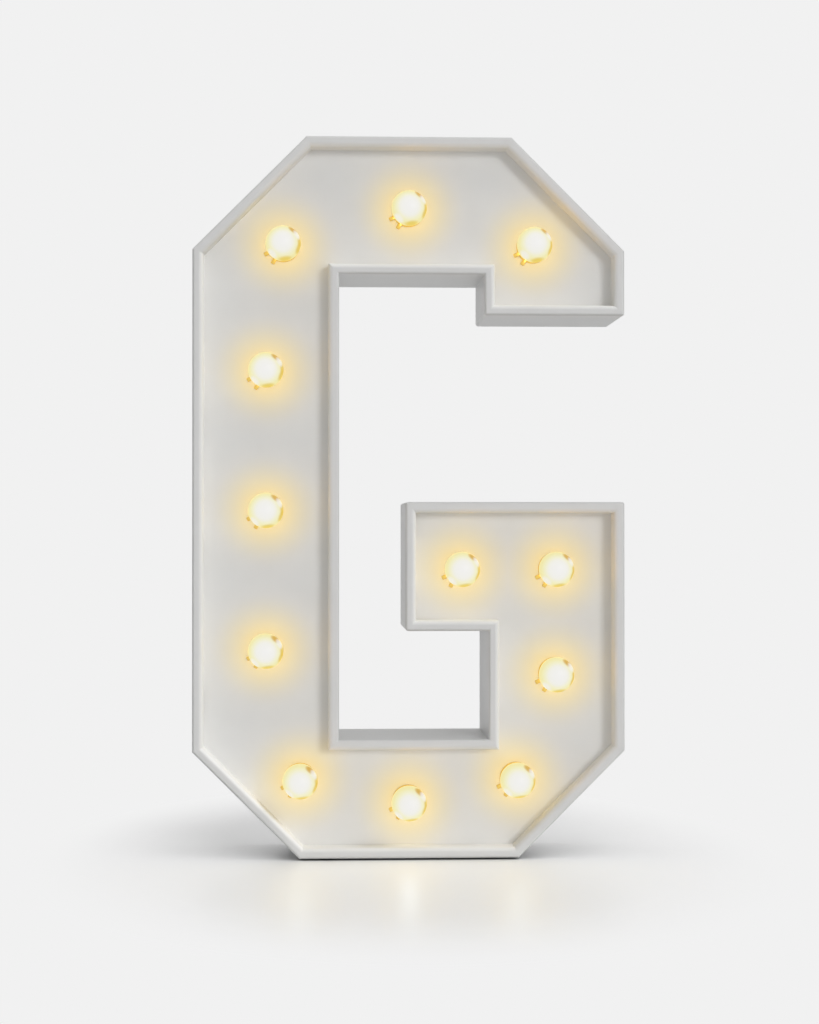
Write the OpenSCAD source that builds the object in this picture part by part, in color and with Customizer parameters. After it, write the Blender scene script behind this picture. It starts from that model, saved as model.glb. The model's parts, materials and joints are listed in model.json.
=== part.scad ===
// Free-standing light-up letter G: an open-fronted channel letter of mitred boards with twelve globe bulbs.
// Millimetres, +Z up. The front faces -Y and the origin is on the floor under the middle of the letter.

/* [Letter outline] */
// Height of the letter without its feet
letter_h = 1219; // [1150:1:1300]
// Width of the letter
letter_w = 731; // [700:1:800]
// Depth of the boards from the front rim to the back
letter_d = 203; // [170:1:260]
// Size of the two sloping corners at the top
top_bevel = 192; // [150:1:220]
// Size of the two sloping corners at the bottom
bottom_bevel = 180; // [140:1:210]
// Width of the tall stem on the left
stem_w = 247; // [200:1:260]
// Height of the bar across the top
top_bar_h = 233; // [200:1:260]
// Height of the bar across the bottom
bottom_bar_h = 200; // [180:1:240]
// Width of the end that hangs down from the top bar
terminal_w = 238; // [200:1:250]
// How far that end hangs below the top bar
terminal_drop = 69; // [65:1:90]
// Width of the arm that rises on the right
arm_w = 231; // [200:1:250]
// Height of the top of the arm
arm_h = 601; // [580:1:680]
// How far the spur reaches left of the arm
spur_w = 141; // [100:1:170]
// Height of the spur
spur_h = 218; // [190:1:240]

/* [Boards] */
// Thickness of the wall boards
wall_t = 18; // [9:0.1:20]
// Radius of the rounding along the outer front edge of the rim
rim_r = 4.2; // [1:0.1:4.4]
// Radius of the rounding along the inner front edge of the rim, as a share of the boards' thickness
rim_inner_share = 0.45; // [0.1:0.01:0.5]
// Radius of the rounding where two boards meet in an outward corner
corner_r = 5; // [2:0.5:8]
// How far the face panel lies behind the front rim
recess = 40; // [34:1:64]
// Thickness of the face panel
panel_t = 6; // [4:0.5:9]
// Thickness of the back panel
back_t = 6; // [4:0.5:9]
// Side of the square battens behind both panels
batten_w = 18; // [12:1:22]
// Gap between the mitred ends of neighbouring battens
batten_gap = 1; // [0.5:0.1:3]
// Length of batten that each back panel screw holds
screw_span = 200; // [160:10:260]
// Diameter of a back panel screw
screw_d = 4; // [3:0.1:5]
// Length of a back panel screw under its head
screw_l = 20; // [14:1:24]
// Diameter of a back panel screw's head
screw_head_d = 8; // [6.5:0.1:10]
// Height of a back panel screw's head
screw_head_h = 2.6; // [1.5:0.1:4]

/* [Feet] */
// Diameter of a rubber foot
foot_d = 30; // [20:1:40]
// Height of a rubber foot
foot_h = 3; // [2:0.5:12]
// Distance of the feet from the letter's middle, sideways
foot_x = 140; // [90:1:150]
// Distance of the feet from the middle of the depth
foot_y = 70; // [40:1:72]

/* [Bulb layout] */
// Distance of the outer top bulbs from the letter's sides
top_bulb_x = 152.5; // [135.5:0.5:175.5]
// How far the middle top bulb lies below the middle of the top bar
top_bulb_low = 4; // [0:0.5:12]
// How far the outer top bulbs lie below the middle one
top_bulb_drop = 61; // [30:1:75]
// Height of the middle bottom bulb
bottom_bulb_z = 92; // [80:1:95]
// Distance of the outer bottom bulbs from the letter's sides
bottom_bulb_x = 181.5; // [160.5:0.5:195.5]
// How far the outer bottom bulbs lie above the middle one
bottom_bulb_rise = 38; // [20:1:45]
// Distance between the bulbs on the stem
stem_bulb_pitch = 237; // [180:1:250]
// How far the middle one of them lies above the point midway between the corner bulbs
stem_bulb_rise = 3; // [0:0.5:12]
// Distance between the two bulbs on the spur
spur_bulb_pitch = 160; // [130:1:175]
// How far those two bulbs lie below the middle of the spur
spur_bulb_drop = 5; // [0:0.5:12]

/* [Bulb] */
// Diameter of the glass globe
globe_d = 60; // [52:1:70]
// Wall of the globe
globe_wall = 1.2; // [0.8:0.1:2]
// Distance from the globe's centre to the end of its neck
globe_rise = 30; // [28:0.5:36]
// Diameter where the neck leaves the globe
neck_top_d = 41; // [36:0.5:44]
// Diameter of the end of the neck
neck_d = 30; // [28:0.5:33]
// Diameter of the screw cap
cap_d = 26; // [24:0.1:27]
// Length of the cap's metal shell
cap_l = 22; // [18:0.5:24]
// Length of the insulator and the contact at the end of the cap
contact_l = 4; // [3:0.5:6]
// Diameter of the contact at the end of the cap
contact_d = 9.5; // [8:0.5:12]

/* [Lampholder] */
// Diameter of the barrel that passes through the face panel
barrel_d = 39; // [36:0.5:44]
// Diameter of the flange behind the face panel
holder_flange_d = 54; // [48:1:60]
// Thickness of that flange
holder_flange_t = 3; // [2:0.5:5]
// Diameter of the body behind the flange
holder_d = 45; // [40:0.5:47]
// Length of the body from the front of the face panel
holder_l = 50; // [46:1:60]
// Outer diameter of the clamping ring
ring_d = 56; // [52:1:68]
// Thickness of the clamping ring
ring_t = 4; // [2.5:0.5:6]
// Width of the two lugs that turn the clamping ring
lug_w = 7; // [5:0.5:10]
// How far the lugs stand out past the ring
lug_reach = 8; // [4:0.5:10]
// Hour on a clock face, seen from the front, that lies midway between the lugs
lug_hour = 7.6; // [0:0.1:12]
// Angle between the two lugs
lug_angle = 33; // [25:1:60]

/* [Wiring] */
// Diameter of the cables
cable_d = 6.4; // [5:0.1:8]
// How far a cable reaches into what it feeds
cable_entry = 8; // [5:0.5:9]
// Width of the junction box
junction_w = 52; // [44:1:60]
// Height of the junction box
junction_h = 44; // [36:1:56]
// Wall of the junction box
junction_wall = 2; // [1.5:0.1:3]
// Distance of the power inlet from the letter's middle
inlet_x = 92; // [86:1:98]

/* [Power inlet] */
// Thickness of the inlet's flange
inlet_flange_t = 2.5; // [1.5:0.1:4]
// How far the flange stands out past the body
inlet_lip = 2; // [1.5:0.1:3]
// Depth of the body behind the back panel's outer face
inlet_depth = 28; // [26:0.5:40]
// Wall at the sides of the body
inlet_wall = 2; // [1.5:0.1:4]
// Web above, between and below the openings of the body
inlet_web = 3; // [2.6:0.1:5]
// Width of the socket recess
socket_w = 24; // [22:0.1:26]
// Height of the socket recess
socket_h = 16; // [15:0.1:18]
// Depth of the socket recess
socket_depth = 17; // [15:0.5:20]
// Size of the socket's two sloping corners
socket_bevel = 4; // [2:0.1:5]
// Distance from the body's side to an inlet screw
ear_reach = 6; // [5:0.1:9]
// Height of the two ears that take the screws
ear_h = 12; // [9:0.5:16]
// Diameter of an inlet screw
inlet_screw_d = 3; // [2.5:0.1:4]
// Diameter of an inlet screw's head
inlet_head_d = 5.6; // [5:0.1:7]
// Height of an inlet screw's head
inlet_head_h = 2; // [1:0.1:3]
// Width of a contact pin
pin_w = 2; // [1.5:0.1:2.5]
// Height of a contact pin
pin_h = 4; // [3:0.1:5]
// How far the pin tips lie below the flange
pin_sunk = 2.5; // [1:0.1:5]
// Distance of the outer pins from the middle
pin_x = 7; // [5:0.1:8]
// Distance of the pins above and below the middle of the socket
pin_z = 2; // [1:0.1:3]
// Length of a solder tab behind the body
tab_l = 8; // [5:0.5:9]
// Wall of the insulating boot
boot_wall = 1.5; // [1:0.1:2.5]
// How far the boot grips the body
boot_grip = 8; // [4:0.5:12]
// Room in the boot behind the body
boot_room = 11; // [10:0.5:16]

/* [Switch and fuse] */
// Width of the rocker
rocker_w = 19; // [15:0.1:20]
// Radius of the rocker round its pivot
rocker_r = 8; // [7:0.1:9]
// How far the ends of the rocker stand out from the pivot
rocker_rise = 5; // [4:0.1:5.5]
// How far the middle of the rocker stands out from the pivot
rocker_dip = 2.4; // [1:0.1:3.5]
// Depth of the pivot below the flange
rocker_sunk = 3; // [2.5:0.1:4]
// Tilt of the rocker either side of the middle
rocker_tilt = 10; // [5:1:12]
// Diameter of the rocker's pivot pins
pivot_d = 3; // [2:0.1:3.4]
// Length of a pivot pin
pivot_l = 1.8; // [1:0.1:2.2]
// Width of the fuse drawer
drawer_w = 22; // [21.6:0.1:24]
// Height of the fuse drawer
drawer_h = 7.4; // [7:0.1:9]
// Length of the fuse drawer
drawer_l = 22; // [18:0.5:24]
// Thickness of the drawer's face
drawer_face_t = 1.6; // [1:0.1:3]
// How far the drawer's face overlaps the flange
drawer_lip = 1; // [0.5:0.1:1.2]
// Floor and front wall of the drawer round the fuse
drawer_wall = 1; // [0.8:0.1:1.5]
// Diameter of the cartridge fuse
fuse_d = 5; // [4:0.1:5.2]
// Length of the cartridge fuse
fuse_l = 20; // [15:0.5:20]

/* [Fits] */
// Gap round a piece that slides or is put in by hand
fit_gap = 0.3; // [0.2:0.05:0.5]
// Gap between a bulb's neck and the lampholder's mouth
bulb_gap = 0.5; // [0.3:0.1:0.8]
// Running gap round the rocker's pivot pins
pivot_gap = 0.05; // [0.03:0.01:0.08]
// Thickness of the glue between a batten and its wall
glue_t = 0.1; // [0.05:0.01:0.3]
// How much narrower a pilot hole is than its screw
screw_bite = 0.6; // [0.3:0.1:0.8]

/* [Hidden] */
$fn = 64;
// How far a cut runs past the solid that it cuts
past = 1;
// Top of a screw's head as a share of its widest diameter
head_taper = 0.7;

// Distance of the battens from the outline
batten_near = wall_t + glue_t;
// Radius of the rounding along the inner front edge
rim_inner_r = rim_inner_share * wall_t;

// Corner points of the outline, anticlockwise seen from the front, as [x, z] above the underside
half_w = letter_w / 2;
stem_x = -half_w + stem_w;
terminal_x = half_w - terminal_w;
arm_x = half_w - arm_w;
spur_x = arm_x - spur_w;
open_top = letter_h - top_bar_h;
outline = [
    [-half_w + bottom_bevel, 0],
    [half_w - bottom_bevel, 0],
    [half_w, bottom_bevel],
    [half_w, arm_h],
    [spur_x, arm_h],
    [spur_x, arm_h - spur_h],
    [arm_x, arm_h - spur_h],
    [arm_x, bottom_bar_h],
    [stem_x, bottom_bar_h],
    [stem_x, open_top],
    [terminal_x, open_top],
    [terminal_x, open_top - terminal_drop],
    [half_w, open_top - terminal_drop],
    [half_w, letter_h - top_bevel],
    [half_w - top_bevel, letter_h],
    [-half_w + top_bevel, letter_h],
    [-half_w, letter_h - top_bevel],
    [-half_w, bottom_bevel],
];

// One name for each edge of the outline, in the same order
wall_names = [
    "wall_base",
    "wall_bottom_right_bevel",
    "wall_arm_right",
    "wall_arm_top",
    "wall_spur_end",
    "wall_spur_underside",
    "wall_arm_inner",
    "wall_bottom_bar_top",
    "wall_stem_inner",
    "wall_top_bar_underside",
    "wall_terminal_inner",
    "wall_terminal_underside",
    "wall_terminal_right",
    "wall_top_right_bevel",
    "wall_top",
    "wall_top_left_bevel",
    "wall_stem_left",
    "wall_bottom_left_bevel",
];

sides = len(outline);
function corner(i) = outline[(i + sides) % sides];
function edge_dir(i) = (corner(i + 1) - corner(i)) / norm(corner(i + 1) - corner(i));
function inward(i) = [-edge_dir(i)[1], edge_dir(i)[0]];

// Corner i of the outline moved inwards by a distance from both its edges
function inset(i, by) = corner(i)
    + by * (inward(i - 1) + inward(i)) / (1 + inward(i - 1) * inward(i));
function inset_outline(by) = [for (i = [0 : sides - 1]) inset(i, by)];

// Planes along the depth, measured back from the front rim
panel_back = recess + panel_t;
back_front = letter_d - back_t;
mouth_y = recess - ring_t;
neck_y = mouth_y - bulb_gap;
globe_y = neck_y - globe_rise;
cap_end_y = neck_y + cap_l + contact_l;
holder_floor_y = cap_end_y + fit_gap;
holder_end_y = recess + holder_l;
wire_y = (holder_floor_y + holder_end_y) / 2;

// Bulb centres as [x, z], from the top right round the letter to the tip of the spur
top_side_x = half_w - top_bulb_x;
bottom_side_x = half_w - bottom_bulb_x;
top_bulb_z = letter_h - top_bar_h / 2 - top_bulb_low;
corner_bulb_z = bottom_bulb_z + bottom_bulb_rise;
stem_bulb_x = -half_w + stem_w / 2;
stem_bulb_z = (top_bulb_z - top_bulb_drop + corner_bulb_z) / 2 + stem_bulb_rise;
arm_bulb_x = half_w - arm_w / 2;
spur_bulb_z = arm_h - spur_h / 2 - spur_bulb_drop;
bulbs = [
    [top_side_x, top_bulb_z - top_bulb_drop],
    [0, top_bulb_z],
    [-top_side_x, top_bulb_z - top_bulb_drop],
    [stem_bulb_x, stem_bulb_z + stem_bulb_pitch],
    [stem_bulb_x, stem_bulb_z],
    [stem_bulb_x, stem_bulb_z - stem_bulb_pitch],
    [-bottom_side_x, corner_bulb_z],
    [0, bottom_bulb_z],
    [bottom_side_x, corner_bulb_z],
    [arm_bulb_x, (corner_bulb_z + spur_bulb_z) / 2],
    [arm_bulb_x, spur_bulb_z],
    [arm_bulb_x - spur_bulb_pitch, spur_bulb_z],
];
last_bulb = len(bulbs) - 1;

// Directions of a ring's two lugs, clockwise from straight up
lug_turn = lug_hour / 12 * 360;
lug_turns = [lug_turn - lug_angle / 2, lug_turn + lug_angle / 2];

// The junction box lies behind the face panel in line with the inlet, and feeds two chains of lampholders
inlet_z = bottom_bulb_z;
stations = concat(bulbs, [[inlet_x, inlet_z]]);
junction = len(stations) - 1;
wires = [
    [junction, 7], [7, 6], [6, 5], [5, 4], [4, 3], [3, 2], [2, 1], [1, 0],
    [junction, 8], [8, 9], [9, 10], [10, 11],
];
cable_hole_d = cable_d + 2 * fit_gap;
junction_end_y = wire_y + cable_d + 2 * junction_wall;

// Sizes of the inlet, whose openings stack upwards with a web between each
slot_w = drawer_w + 2 * fit_gap;
slot_h = drawer_h + 2 * fit_gap;
well_w = rocker_w + 2 * fit_gap;
well_h = 2 * (rocker_r + fit_gap);
inlet_w = max(socket_w, slot_w, well_w + 2 * pivot_l) + 2 * inlet_wall;
inlet_h = 4 * inlet_web + socket_h + slot_h + well_h;
socket_z = -inlet_h / 2 + inlet_web + socket_h / 2;
drawer_z = socket_z + socket_h / 2 + inlet_web + slot_h / 2;
rocker_z = drawer_z + slot_h / 2 + inlet_web + well_h / 2;
ear_x = inlet_w / 2 + ear_reach;
ear_end = ear_x + ear_h / 2;
inlet_face_y = letter_d + inlet_flange_t;
inlet_end_y = letter_d - inlet_depth;
boot_end_y = inlet_end_y - boot_room - boot_wall;
pivot_y = inlet_face_y - rocker_sunk;
socket_floor_y = inlet_face_y - socket_depth;
fuse_pocket_w = fuse_l + 2 * fit_gap;
fuse_pocket_d = fuse_d + 2 * fit_gap;
pins = [[-pin_x, -pin_z], [0, pin_z], [pin_x, -pin_z]];

// Shift that puts the origin midway between the foremost bulb or rim and the hindmost point of the inlet
rocker_end = sqrt(rocker_r * rocker_r - rocker_rise * rocker_rise);
rocker_reach = rocker_rise * cos(rocker_tilt) + rocker_end * sin(rocker_tilt);
rear_y = max(pivot_y + rocker_reach, inlet_face_y + inlet_head_h, letter_d + screw_head_h);
front_y = min(0, globe_y - globe_d / 2);
middle_y = (front_y + rear_y) / 2;

// Stands a piece, drawn with the rim at y = 0 and the underside at z = 0, on the floor
module standing() {
    translate([0, -middle_y, foot_h]) children();
}

// Extrudes a flat shape, drawn as [x, z], from one depth to another
module between(y0, y1) {
    translate([0, y1, 0]) rotate([90, 0, 0]) linear_extrude(y1 - y0) children();
}

// A round bar along the depth
module rod(at, y0, y1, d) {
    translate([at[0], y0, at[1]]) rotate([-90, 0, 0]) cylinder(h = y1 - y0, d = d);
}

// A block along the depth, centred on a point
module block(at, size, y0, y1) {
    translate([at[0] - size[0] / 2, y0, at[1] - size[1] / 2]) cube([size[0], y1 - y0, size[1]]);
}

// A strip along edge i between two distances from the outline, mitred at both ends and cut short there
module strip(i, near, far, y0, y1, short = 0) {
    cut = short * edge_dir(i);
    between(y0, y1) polygon([
        inset(i, near) + cut,
        inset(i + 1, near) - cut,
        inset(i + 1, far) - cut,
        inset(i, far) + cut,
    ]);
}

// Battens glued along every wall from one depth to another
module battens(y0, y1) {
    for (i = [0 : sides - 1]) strip(i, batten_near, batten_near + batten_w, y0, y1, batten_gap / 2);
}

// Section of a wall board, thickness by depth, with its two front edges rounded
module board_section() {
    inner_x = wall_t - rim_inner_r;
    translate([0, rim_r]) square([inner_x, letter_d - rim_r]);
    translate([rim_r, 0]) square([inner_x - rim_r, letter_d]);
    translate([rim_r, rim_inner_r]) square([wall_t - rim_r, letter_d - rim_inner_r]);
    translate([rim_r, rim_r]) circle(rim_r);
    translate([inner_x, rim_inner_r]) circle(rim_inner_r);
}

// What sanding takes off corner i if it points outwards
module corner_waste(i) {
    centre = inset(i, corner_r);
    reach = corner_r + past;
    if (cross(edge_dir(i - 1), edge_dir(i)) > 0) difference() {
        between(-past, letter_d + past) polygon([
            centre,
            centre - reach * inward(i - 1),
            inset(i, -past),
            centre - reach * inward(i),
        ]);
        rod(centre, -2 * past, letter_d + 2 * past, 2 * corner_r);
    }
}

// Wall board along edge i: the rounded section run past both ends, cut to the mitres and sanded
module wall(i) {
    spare = letter_d;
    along = edge_dir(i);
    across = inward(i);
    start = corner(i + 1) + spare * along;
    run = norm(corner(i + 1) - corner(i)) + 2 * spare;
    color("whitesmoke") standing() difference() {
        intersection() {
            strip(i, 0, wall_t, 0, letter_d);
            multmatrix([
                [across[0], 0, -along[0], start[0]],
                [0, 1, 0, 0],
                [across[1], 0, -along[1], start[1]],
            ]) linear_extrude(run) board_section();
        }
        corner_waste(i);
        corner_waste(i + 1);
    }
}

module face_panel() {
    color("white") standing() difference() {
        between(recess, panel_back) polygon(inset_outline(wall_t));
        for (b = bulbs) rod(b, recess - past, panel_back + past, barrel_d + 2 * fit_gap);
    }
}

module face_panel_battens() {
    color("burlywood") standing() battens(panel_back, panel_back + batten_w);
}

// Screws of the back panel: as many as fit along each batten, evenly spread
module at_back_screws() {
    middle = batten_near + batten_w / 2;
    for (i = [0 : sides - 1]) {
        a = inset(i, middle);
        b = inset(i + 1, middle);
        count = floor(norm(corner(i + 1) - corner(i)) / screw_span);
        for (k = [1 : 1 : count]) {
            p = a + (b - a) * (k - 0.5) / count;
            translate([p[0], letter_d, p[1]]) rotate([90, 0, 0]) children();
        }
    }
}

module back_panel_battens() {
    color("burlywood") standing() difference() {
        battens(back_front - batten_w, back_front);
        at_back_screws() cylinder(h = screw_l, d = screw_d - screw_bite);
    }
}

module back_panel() {
    centre = [inlet_x, inlet_z];
    color("white") standing() difference() {
        between(back_front, letter_d) polygon(inset_outline(wall_t));
        block(centre, [inlet_w + 2 * fit_gap, inlet_h + 2 * fit_gap], back_front - past, letter_d + past);
        at_back_screws() translate([0, 0, -past])
            cylinder(h = back_t + 2 * past, d = screw_d + 2 * fit_gap);
        for (s = [-1, 1])
            rod(centre + [s * ear_x, 0], back_front - past, letter_d + past, inlet_screw_d - screw_bite);
    }
}

// A pan-head screw with its head above z = 0
module screw(d, length, head_d, head_h) {
    cylinder(h = length, d = d);
    translate([0, 0, -head_h]) cylinder(h = head_h, d1 = head_d * head_taper, d2 = head_d);
}

module back_panel_screws() {
    color("silver") standing() at_back_screws() screw(screw_d, screw_l, screw_head_d, screw_head_h);
}

module feet() {
    color("dimgray") standing()
        for (x = [-foot_x, foot_x], y = [-foot_y, foot_y])
            translate([x, letter_d / 2 + y, -foot_h]) cylinder(h = foot_h, d = foot_d);
}

// Solid of a globe with its neck, smaller all over by a wall
module globe_form(at, wall) {
    r = globe_d / 2;
    neck_top_r = neck_top_d / 2;
    reach = sqrt(r * r - neck_top_r * neck_top_r);
    translate([at[0], globe_y, at[1]]) rotate([-90, 0, 0]) {
        sphere(r - wall);
        translate([0, 0, reach])
            cylinder(h = globe_rise - reach, r1 = neck_top_r - wall, r2 = neck_d / 2 - wall);
    }
}

module bulb_globe(k) {
    color("lightyellow") standing() difference() {
        globe_form(bulbs[k], 0);
        globe_form(bulbs[k], globe_wall);
    }
}

module bulb_cap(k) {
    shell_end_y = neck_y + cap_l;
    color("silver") standing() {
        rod(bulbs[k], neck_y, shell_end_y, cap_d);
        rod(bulbs[k], shell_end_y, cap_end_y, contact_d);
    }
}

// A cable between two stations at the level of the wiring, starting and ending a distance off each
module cable(a, b, off_a, off_b, d) {
    across = b - a;
    translate([a[0], wire_y, a[1]]) rotate([0, 90 - atan2(across[1], across[0]), 0])
        translate([0, 0, off_a]) cylinder(h = norm(across) - off_a - off_b, d = d);
}

// Where the cables end: inside a lampholder's body, or inside the junction box
function cable_stop(s) = (s == junction ? junction_w : holder_d) / 2 - cable_entry;

// Holes for every cable that reaches station s
module cable_holes(s) {
    for (w = wires) if (w[0] == s || w[1] == s) {
        other = w[0] == s ? w[1] : w[0];
        cable(stations[s], stations[other], cable_stop(s) - fit_gap, cable_stop(other), cable_hole_d);
    }
}

module lampholder(k) {
    difference() {
        union() {
            rod(bulbs[k], mouth_y, panel_back, barrel_d);
            rod(bulbs[k], panel_back, panel_back + holder_flange_t, holder_flange_d);
            rod(bulbs[k], panel_back, holder_end_y, holder_d);
        }
        rod(bulbs[k], mouth_y - past, holder_floor_y, cap_d + 2 * fit_gap);
        cable_holes(k);
    }
}

module lampholders() {
    color("ivory") standing() for (k = [0 : last_bulb]) lampholder(k);
}

module lampholder_rings() {
    color("goldenrod") standing() for (b = bulbs) difference() {
        union() {
            rod(b, mouth_y, recess, ring_d);
            for (turn = lug_turns) translate([b[0], mouth_y, b[1]]) rotate([0, turn, 0])
                translate([-lug_w / 2, 0, 0]) cube([lug_w, ring_t, ring_d / 2 + lug_reach]);
        }
        rod(b, mouth_y - past, recess + past, barrel_d + 2 * fit_gap);
    }
}

module lamp_wiring() {
    color("gray") standing() {
        for (w = wires)
            cable(stations[w[0]], stations[w[1]], cable_stop(w[0]), cable_stop(w[1]), cable_d);
        rod(stations[junction], junction_end_y - cable_entry, boot_end_y + cable_entry, cable_d);
    }
}

module junction_box() {
    at = stations[junction];
    size = [junction_w, junction_h];
    inside = size - 2 * [junction_wall, junction_wall];
    color("gainsboro") standing() difference() {
        block(at, size, panel_back, junction_end_y - junction_wall);
        block(at, inside, panel_back + junction_wall, junction_end_y);
        cable_holes(junction);
    }
}

module junction_lid() {
    at = stations[junction];
    color("gainsboro") standing() difference() {
        block(at, [junction_w, junction_h], junction_end_y - junction_wall, junction_end_y);
        rod(at, junction_end_y - junction_wall - past, junction_end_y + past, cable_hole_d);
    }
}

// Socket outline with its two upper corners sloping, as [x, z] round the inlet's centre
socket_outline = [
    [-socket_w / 2, socket_z - socket_h / 2],
    [socket_w / 2, socket_z - socket_h / 2],
    [socket_w / 2, socket_z + socket_h / 2 - socket_bevel],
    [socket_w / 2 - socket_bevel, socket_z + socket_h / 2],
    [-socket_w / 2 + socket_bevel, socket_z + socket_h / 2],
    [-socket_w / 2, socket_z + socket_h / 2 - socket_bevel],
];

module at_inlet() {
    standing() translate([inlet_x, 0, inlet_z]) children();
}

module inlet_housing() {
    lip = 2 * inlet_lip;
    well_end = pivot_y - rocker_r - fit_gap;
    color("dimgray") at_inlet() difference() {
        union() {
            block([0, 0], [inlet_w, inlet_h], inlet_end_y, letter_d);
            block([0, 0], [inlet_w + lip, inlet_h + lip], letter_d, inlet_face_y);
            block([0, 0], [2 * ear_end, ear_h], letter_d, inlet_face_y);
        }
        between(socket_floor_y, inlet_face_y + past) polygon(socket_outline);
        block([0, drawer_z], [slot_w, slot_h], inlet_face_y - drawer_l - fit_gap, inlet_face_y + past);
        block([0, rocker_z], [well_w, well_h], well_end, inlet_face_y + past);
        rocker_axle(well_w + 2 * pivot_l, pivot_d + 2 * pivot_gap);
        for (s = [-1, 1])
            rod([s * ear_x, 0], letter_d - past, inlet_face_y + past, inlet_screw_d + 2 * fit_gap);
        for (p = pins)
            block([p[0], socket_z + p[1]], [pin_w, pin_h], inlet_end_y - past, inlet_face_y);
    }
}

module inlet_pins() {
    color("goldenrod") at_inlet() for (p = pins)
        block([p[0], socket_z + p[1]], [pin_w, pin_h], inlet_end_y - tab_l, inlet_face_y - pin_sunk);
}

module inlet_boot() {
    size = [inlet_w + 2 * boot_wall, inlet_h + 2 * boot_wall];
    color("black") at_inlet() difference() {
        block([0, 0], size, boot_end_y, inlet_end_y + boot_grip);
        block([0, 0], [inlet_w, inlet_h], boot_end_y + boot_wall, inlet_end_y + boot_grip + past);
        rod([0, 0], boot_end_y - past, boot_end_y + boot_wall + past, cable_hole_d);
    }
}

module inlet_screws() {
    color("silver") at_inlet() for (s = [-1, 1])
        translate([s * ear_x, inlet_face_y, 0]) rotate([90, 0, 0])
            screw(inlet_screw_d, inlet_flange_t + back_t, inlet_head_d, inlet_head_h);
}

// Pivot line of the rocker, across the inlet
module rocker_axle(length, d) {
    translate([-length / 2, pivot_y, rocker_z]) rotate([0, 90, 0]) cylinder(h = length, d = d);
}

// The rocker, pressed in at its top, as it is when the lamps are on
module rocker_switch() {
    color("firebrick") at_inlet() {
        difference() {
            rocker_axle(rocker_w, 2 * rocker_r);
            translate([-rocker_w / 2 - past, pivot_y, rocker_z]) rotate([rocker_tilt, 0, 0])
                rotate([90, 0, 90]) linear_extrude(rocker_w + 2 * past) polygon([
                    [rocker_dip, 0],
                    [rocker_rise, -rocker_end],
                    [2 * rocker_r, -2 * rocker_r],
                    [2 * rocker_r, 2 * rocker_r],
                    [rocker_rise, rocker_end],
                ]);
        }
        rocker_axle(rocker_w + 2 * pivot_l, pivot_d);
    }
}

module fuse_drawer() {
    fuse_y = inlet_face_y - drawer_l + drawer_wall;
    face = [slot_w + 2 * drawer_lip, slot_h + 2 * drawer_lip];
    color("black") at_inlet() difference() {
        union() {
            block([0, drawer_z], [drawer_w, drawer_h], inlet_face_y - drawer_l, inlet_face_y);
            block([0, drawer_z], face, inlet_face_y, inlet_face_y + drawer_face_t);
        }
        translate([-fuse_pocket_w / 2, fuse_y, drawer_z - drawer_h / 2 + drawer_wall])
            cube([fuse_pocket_w, fuse_pocket_d, drawer_h]);
    }
}

module fuse() {
    fuse_y = inlet_face_y - drawer_l + drawer_wall + fuse_pocket_d / 2;
    fuse_z = drawer_z - drawer_h / 2 + drawer_wall + fit_gap + fuse_d / 2;
    color("silver") at_inlet()
        translate([-fuse_l / 2, fuse_y, fuse_z]) rotate([0, 90, 0]) cylinder(h = fuse_l, d = fuse_d);
}

for (i = [0 : sides - 1]) wall(i);
face_panel();
face_panel_battens();
back_panel_battens();
back_panel();
back_panel_screws();
feet();
for (k = [0 : last_bulb]) bulb_globe(k);
for (k = [0 : last_bulb]) bulb_cap(k);
lampholders();
lampholder_rings();
lamp_wiring();
junction_box();
junction_lid();
inlet_housing();
inlet_pins();
inlet_boot();
inlet_screws();
rocker_switch();
fuse_drawer();
fuse();
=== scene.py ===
"""Light-up letter G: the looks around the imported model, in metres, in the model's own frame."""

import json
import math

import bmesh
import bpy
from mathutils import Matrix, Vector


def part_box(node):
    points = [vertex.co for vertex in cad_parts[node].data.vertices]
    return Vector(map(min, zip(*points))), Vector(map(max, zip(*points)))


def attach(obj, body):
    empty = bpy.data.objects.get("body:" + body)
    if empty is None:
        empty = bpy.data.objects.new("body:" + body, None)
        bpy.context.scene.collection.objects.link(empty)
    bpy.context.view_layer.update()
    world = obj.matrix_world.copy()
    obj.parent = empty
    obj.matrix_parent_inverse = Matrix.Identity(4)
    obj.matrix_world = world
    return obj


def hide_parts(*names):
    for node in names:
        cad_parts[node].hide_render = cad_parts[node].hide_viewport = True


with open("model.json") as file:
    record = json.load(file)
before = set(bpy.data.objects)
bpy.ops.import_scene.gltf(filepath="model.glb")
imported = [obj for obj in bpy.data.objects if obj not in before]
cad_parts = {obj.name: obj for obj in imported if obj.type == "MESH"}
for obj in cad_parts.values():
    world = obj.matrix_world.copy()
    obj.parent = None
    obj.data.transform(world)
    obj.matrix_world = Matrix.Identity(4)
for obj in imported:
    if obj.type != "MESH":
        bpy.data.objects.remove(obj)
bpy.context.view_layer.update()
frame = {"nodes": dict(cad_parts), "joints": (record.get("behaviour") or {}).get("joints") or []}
nodes = frame["nodes"]
scene = bpy.context.scene
scene.view_settings.view_transform = "Standard"

# Camera: it stands a little left of the letter, just below half its height, with a short telephoto lens,
# so that the inner faces of the right-hand boards and the undersides of the upper bars show.
CAMERA_X, CAMERA_AHEAD, CAMERA_Z = -0.1644, 3.6485, 0.5575
CAMERA_TILT, CAMERA_TURN = 0.0081, -0.0451
lens = bpy.data.cameras.new("camera")
lens.sensor_width = 36
lens.lens = 76.08
camera = bpy.data.objects.new("camera", lens)
camera.location = (CAMERA_X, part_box("wall_top")[0].y - CAMERA_AHEAD, CAMERA_Z)
camera.rotation_euler = (math.pi / 2 + CAMERA_TILT, 0, CAMERA_TURN)
scene.collection.objects.link(camera)
scene.camera = camera

# Wall boards: eighteen plywood boards, mitred, glued, filled and sanded, so that no joint shows.
# They are sprayed with satin white paint, which leaves a faint orange peel and a soft sheen.
MM = 0.001


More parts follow.
